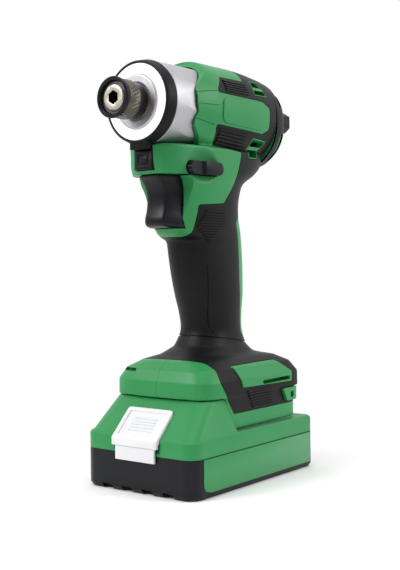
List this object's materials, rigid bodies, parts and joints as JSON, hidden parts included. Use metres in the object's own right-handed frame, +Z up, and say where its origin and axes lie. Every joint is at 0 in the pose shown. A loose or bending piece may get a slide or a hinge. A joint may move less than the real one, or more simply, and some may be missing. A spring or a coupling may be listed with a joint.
{
  "type": "cordless impact driver",
  "caption": "Pistol-grip cordless impact driver with hex bit chuck, light ring, trigger, direction lever, rubber grip and slide-on battery with push release.",
  "frame": {"origin": "centre of the battery's base, on the surface it stands on", "axes": "+X towards the nose along the drive axis, +Y to the tool's left, +Z up"},
  "size_m": [0.1392, 0.0764, 0.231],
  "materials": {
    "green_plastic": "fine spark texture",
    "label_panel": "smooth printed film, left bare",
    "grip_rubber": "moulded matte with ribbed patches",
    "black_plastic": "satin moulded",
    "cast_alloy": "die cast",
    "light_lens": "frosted",
    "white_plastic": "satin moulded",
    "circuit_board": "solder mask",
    "bush_bronze": "machined",
    "copper_wire": "enamelled wire",
    "cell_can": "sleeved",
    "black_steel": "black oxide",
    "dark_steel": "oiled",
    "steel": "ground"
  },
  "bodies": {
    "driver": {"housing_left": "green_plastic", "housing_right": "green_plastic", "grip_left": "grip_rubber", "grip_right": "grip_rubber", "rear_cover": "green_plastic", "rear_bumper": "grip_rubber", "rear_cover_screws": "dark_steel", "housing_screws": "dark_steel", "hook_nuts": "bush_bronze", "hammer_case": "cast_alloy", "nose_bumper": "grip_rubber", "led_lens": "light_lens", "led_board": "circuit_board", "anvil_bush": "bush_bronze", "thrust_washer": "steel", "ring_gear": "dark_steel", "gear_plate": "cast_alloy", "spindle_bearing": "steel", "front_bearing": "steel", "rear_bearing": "steel", "stator": "dark_steel", "stator_windings": "copper_wire", "sensor_board": "circuit_board", "switch_body": "black_plastic", "control_board": "circuit_board", "terminal_block": "black_plastic", "terminal_blades": "bush_bronze"},
    "motor": {"rotor": "dark_steel", "motor_shaft": "steel", "fan": "black_plastic"},
    "carrier": {"spindle": "steel", "planet_pins": "dark_steel", "cam_balls": "steel", "main_spring": "dark_steel"},
    "planet_a": {"planet_gear_a": "steel"},
    "planet_b": {"planet_gear_b": "steel"},
    "striker": {"hammer": "steel"},
    "output": {"anvil": "steel", "chuck_balls": "steel", "chuck_spring": "steel", "retaining_ring": "dark_steel"},
    "sleeve": {"chuck_sleeve": "black_steel"},
    "trigger": {"trigger": "black_plastic"},
    "direction": {"direction_lever": "black_plastic"},
    "mode": {"mode_button": "black_plastic"},
    "battery": {"battery_case": "black_plastic", "battery_cover": "green_plastic", "battery_label": "label_panel", "battery_screws": "dark_steel", "cells": "cell_can", "cell_holder": "black_plastic", "battery_board": "circuit_board", "battery_terminals": "bush_bronze", "release_spring": "steel"},
    "release": {"release_button": "white_plastic"}
  },
  "joints": [
    {"name": "trigger_pull", "type": "slide", "parent": "driver", "child": "trigger", "axis": [-1, 0, 0], "range_m": [0, 0.007], "stiffness_N_per_m": 900, "springref_m": -0.002},
    {"name": "direction_shift", "type": "slide", "parent": "driver", "child": "direction", "axis": [0, -1, 0], "range_m": [0, 0.006]},
    {"name": "mode_press", "type": "slide", "parent": "driver", "child": "mode", "axis": [-1, 0, 0], "range_m": [0, 0.0012], "stiffness_N_per_m": 1200, "springref_m": -0.0005},
    {"name": "spindle_spin", "type": "hinge", "parent": "driver", "child": "carrier", "pos_m": [0, 0, 0.204], "axis": [1, 0, 0], "continuous": true},
    {"name": "motor_spin", "type": "hinge", "parent": "driver", "child": "motor", "pos_m": [0, 0, 0.204], "axis": [1, 0, 0], "continuous": true},
    {"name": "planet_a_spin", "type": "hinge", "parent": "carrier", "child": "planet_a", "pos_m": [0, 0, 0.2148], "axis": [1, 0, 0], "continuous": true},
    {"name": "planet_b_spin", "type": "hinge", "parent": "carrier", "child": "planet_b", "pos_m": [0, 0, 0.1932], "axis": [1, 0, 0], "continuous": true},
    {"name": "anvil_spin", "type": "hinge", "parent": "driver", "child": "output", "pos_m": [0, 0, 0.204], "axis": [1, 0, 0], "continuous": true},
    {"name": "hammer_slide", "type": "slide", "parent": "carrier", "child": "striker", "axis": [-1, 0, 0], "range_m": [0, 0.008], "stiffness_N_per_m": 4000, "springref_m": -0.004, "deforming": ["main_spring"]},
    {"name": "sleeve_slide", "type": "slide", "parent": "output", "child": "sleeve", "axis": [1, 0, 0], "range_m": [0, 0.004], "stiffness_N_per_m": 1500, "springref_m": -0.001, "deforming": ["chuck_spring"]},
    {"name": "battery_slide", "type": "slide", "parent": "driver", "child": "battery", "axis": [1, 0, 0], "range_m": [0, 0.1]},
    {"name": "release_press", "type": "slide", "parent": "battery", "child": "release", "axis": [0, 0, -1], "range_m": [0, 0.004], "stiffness_N_per_m": 1200, "springref_m": -0.001, "deforming": ["release_spring"]}
  ],
  "couplings": [
    {"joint": "motor_spin", "follows": "spindle_spin", "ratio": 6},
    {"joint": "planet_a_spin", "follows": "spindle_spin", "ratio": -2.5},
    {"joint": "planet_b_spin", "follows": "spindle_spin", "ratio": -2.5},
    {"joint": "anvil_spin", "follows": "spindle_spin", "ratio": 1}
  ]
}
